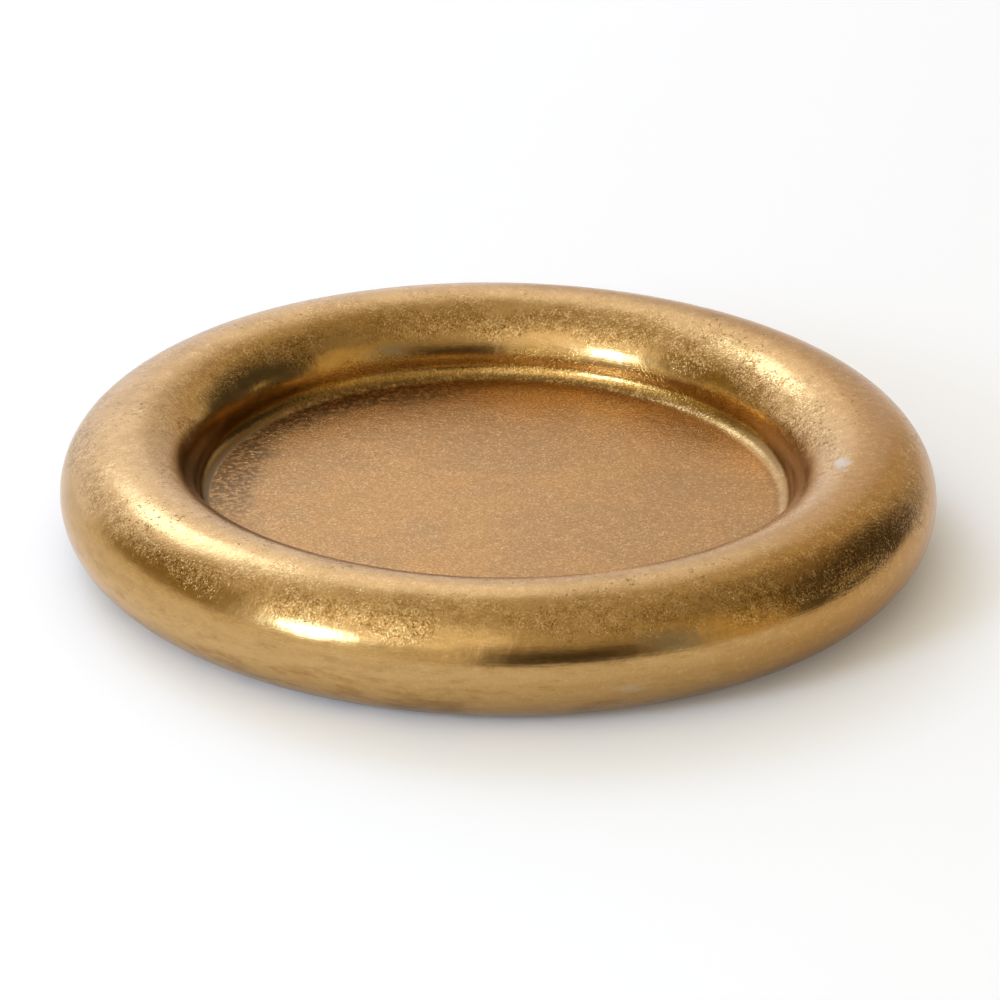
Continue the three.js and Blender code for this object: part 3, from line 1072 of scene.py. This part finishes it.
def soft_panel(name, light, middle, half, low, high, soft, top, distance):
    """A glowing finish that fades out towards a panel's ends and top, and a raised foot"""
    finish, tree, shader = new_finish(name)
    turning = {"Vector": object_place(tree), "Angle": -middle}
    turned = add(tree, "VectorRotate", turning, rotation_type="Z_AXIS")[0]
    axes = add(tree, "SeparateXYZ", {0: turned})
    ahead = product(tree, axes["Y"], -1.0)
    angle = add(tree, "Math", {0: axes["X"], 1: ahead}, operation="ARCTAN2")[0]
    from_middle = add(tree, "Math", {0: angle}, operation="ABSOLUTE")[0]
    rise = add(tree, "Math", {0: axes["Z"], 1: distance}, operation="ARCTAN2")[0]
    share = fade(tree, from_middle, half, half - soft)
    share = product(tree, share, fade(tree, rise, high, high - top))
    if low > 0:
        share = product(tree, share, fade(tree, rise, low, low + soft))
    connect(tree, shader, Alpha=share)
    shader.inputs["Base Color"].default_value = BLACK
    shader.inputs["Specular IOR Level"].default_value = 0
    shader.inputs["Emission Color"].default_value = (*light, 1)
    shader.inputs["Emission Strength"].default_value = 1
    return finish


def stand_panel(name, around, above, light, soft, top=None, distance=PANEL_DISTANCE):
    """A curved panel around the tray, between two directions and two heights, in degrees

    It fades out over soft degrees, and at its top over as many, or over top degrees.
    """
    start, end = (math.radians(angle) for angle in around)
    low, high = (math.radians(angle) for angle in above)
    foot = Matrix.Rotation(start, 3, "Z") @ Vector((0, -distance, 0))
    shape = bmesh.new()
    ends = [shape.verts.new(foot + distance * math.tan(angle) * UP) for angle in (low, high)]
    edge = shape.edges.new(ends)
    bmesh.ops.spin(
        shape,
        geom=[*ends, edge],
        cent=(0, 0, 0),
        axis=(0, 0, 1),
        angle=end - start,
        steps=PANEL_STEPS,
    )
    middle = (start + end) / 2
    half = (end - start) / 2
    top = math.radians(soft if top is None else top)
    soft = math.radians(soft)
    finish = soft_panel(name, light, middle, half, low, high, soft, top, distance)
    panel = show_stage(shape, name, finish)
    panel.visible_camera = False
    return panel


# %% Panels
panels = [
    stand_panel("white_sweep_left", (-180, -124), (0, 59), (1.22, 1.27, 1.45), soft=0.1),
    stand_panel(
        "glow_behind", (-205, -112), (12, 70), (1.75, 1.85, 2.25), soft=34, top=30, distance=2.72
    ),
    stand_panel("white_sweep_right", (158, 180), (0, 60), (0.88, 0.84, 0.84), soft=0.1),
    stand_panel("grey_sweep_right", (131, 158), (0, 58), (0.78, 0.68, 0.50), soft=0.1),
    stand_panel(
        "dark_panel_right", (75, 136), (0, 42), (0.085, 0.08, 0.06), soft=4, top=8, distance=2.75
    ),
    stand_panel("small_glow", (97, 105), (8, 16), (1.5, 1.3, 0.8), soft=3, top=3, distance=2.7),
    stand_panel("grey_panel_right", (60, 131), (37, 64), (0.40, 0.33, 0.20), soft=3),
    stand_panel("golden_panel", (47, 79), (0, 42), (0.76, 0.60, 0.30), soft=4, top=10, distance=2.78),
    stand_panel("slim_panel", (35, 53), (0, 38), (0.36, 0.38, 0.40), soft=5, top=5, distance=2.75),
    stand_panel("dark_panel_front", (-10, 42), (0, 36), (0.05, 0.028, 0.004), soft=14, top=22),
    stand_panel("pale_strip", (-16, -3), (5, 38), (1.15, 1.10, 0.95), soft=5, top=12, distance=2.75),
    stand_panel("half_dark_panel", (-122, -62), (2, 58), (0.36, 0.27, 0.10), soft=12, top=25),
]
print("panels:", ", ".join(panel.name for panel in panels))

# %% [markdown]
# ### Lamps and room
# Three lamps light the tray: a soft box behind it, a small, bright lamp at the front left for sharp
# highlights, and a broad, dim box above that to fill in. Point lamps would give hard shadows. Area
# lamps have a size, which sets how soft a highlight and a shadow are. A world that is paler on one
# side stands for the room.

# %% Lamps
COOL = (0.46, 0.66, 1.0)
NEUTRAL = (0.94, 0.97, 1.0)


def towards(around, above, distance):
    """The place at this direction and distance from the tray"""
    level = Matrix.Rotation(math.radians(around), 3, "Z") @ Vector((0, -distance, 0))
    return level * math.cos(math.radians(above)) + distance * math.sin(math.radians(above)) * UP


def hang_lamp(name, around, above, distance, width, height, brightness, tint):
    """A round or oval soft box that faces the tray; its brightness is the light of its own face"""
    data = bpy.data.lights.new(name, "AREA")
    data.shape = "ELLIPSE"
    data.size = width
    data.size_y = height
    face_area = math.pi / 4 * width * height
    data.energy = brightness * math.pi * face_area
    data.color = tint
    lamp = bpy.data.objects.new(name, data)
    lamp.location = towards(around, above, distance)
    lamp.rotation_euler = (-lamp.location).to_track_quat("-Z", "Y").to_euler()
    lamp.visible_camera = False
    bpy.context.scene.collection.objects.link(lamp)
    print(name, "gives", round(data.energy, 1), "W")


hang_lamp("soft_box_behind", -147, 42, 2.5, width=0.95, height=0.8, brightness=4.6, tint=COOL)
hang_lamp("small_lamp_left", -46, 23, 2.0, width=0.56, height=0.56, brightness=19.0, tint=COOL)
hang_lamp("broad_box_left", -34, 44, 2.6, width=2.9, height=1.9, brightness=0.65, tint=NEUTRAL)

# %% Room
LIT_SIDE = (0.99, 0.95, 0.84, 1)
SHADED_SIDE = (0.50, 0.40, 0.22, 1)
ROOM_SIDES = (-0.7, 0.7)
world = bpy.data.worlds.new("pale_room")
world.use_nodes = True
tree = world.node_tree
direction = add(tree, "TexCoord", {})["Generated"]
sideways = add(tree, "SeparateXYZ", {0: direction})["X"]
walls = mixed(tree, fade(tree, sideways, *ROOM_SIDES), LIT_SIDE, SHADED_SIDE)
tree.links.new(walls, tree.nodes["Background"].inputs["Color"])
bpy.context.scene.world = world
bpy.context.scene.view_settings.view_transform = "Standard"
print(world.name, "has", len(tree.nodes), "nodes")

# %% [markdown]
# ## The camera
# A long lens from almost two metres away keeps the circle of the rim free of distortion. The camera
# aims a little below the middle of the rim, and is rolled by a fraction of a degree, as a camera
# held by hand or on a rough tripod is.

# %% Camera
CAMERA_DISTANCE = 1.78
CAMERA_ABOVE = 24.29
PIXELS = 1000
FOCAL_PIXELS = 4365
AIM_RIGHT = 1.7  # pixels by which the lens aims to the right of the middle of the rim
AIM_DOWN = 17.5  # and below it
ROLL = math.radians(0.68)
SENSOR_WIDTH = 36  # millimetres

lens = bpy.data.cameras.new("long_lens")
lens.sensor_width = SENSOR_WIDTH
lens.lens = SENSOR_WIDTH * FOCAL_PIXELS / PIXELS
lens.clip_start = 0.1
lens.clip_end = 50
camera = bpy.data.objects.new("camera", lens)
bpy.context.scene.collection.objects.link(camera)
bpy.context.scene.camera = camera

target = rim_middle * UP
camera.location = target + towards(0, CAMERA_ABOVE, CAMERA_DISTANCE)
looking = (target - camera.location).to_track_quat("-Z", "Y").to_matrix()
pan = Matrix.Rotation(-math.atan(AIM_RIGHT / FOCAL_PIXELS), 3, "Y")
tilt = Matrix.Rotation(-math.atan(AIM_DOWN / FOCAL_PIXELS), 3, "X")
roll = Matrix.Rotation(ROLL, 3, "Z")
camera.rotation_euler = (looking @ pan @ tilt @ roll).to_euler()
print("lens", round(lens.lens, 1), "mm at", CAMERA_DISTANCE, "m")

# %% [markdown]
# The dressed tray has to fill the same box as the CAD model. The last cell brings the scene up to
# date.

# %% Update the scene
bpy.context.view_layer.update()
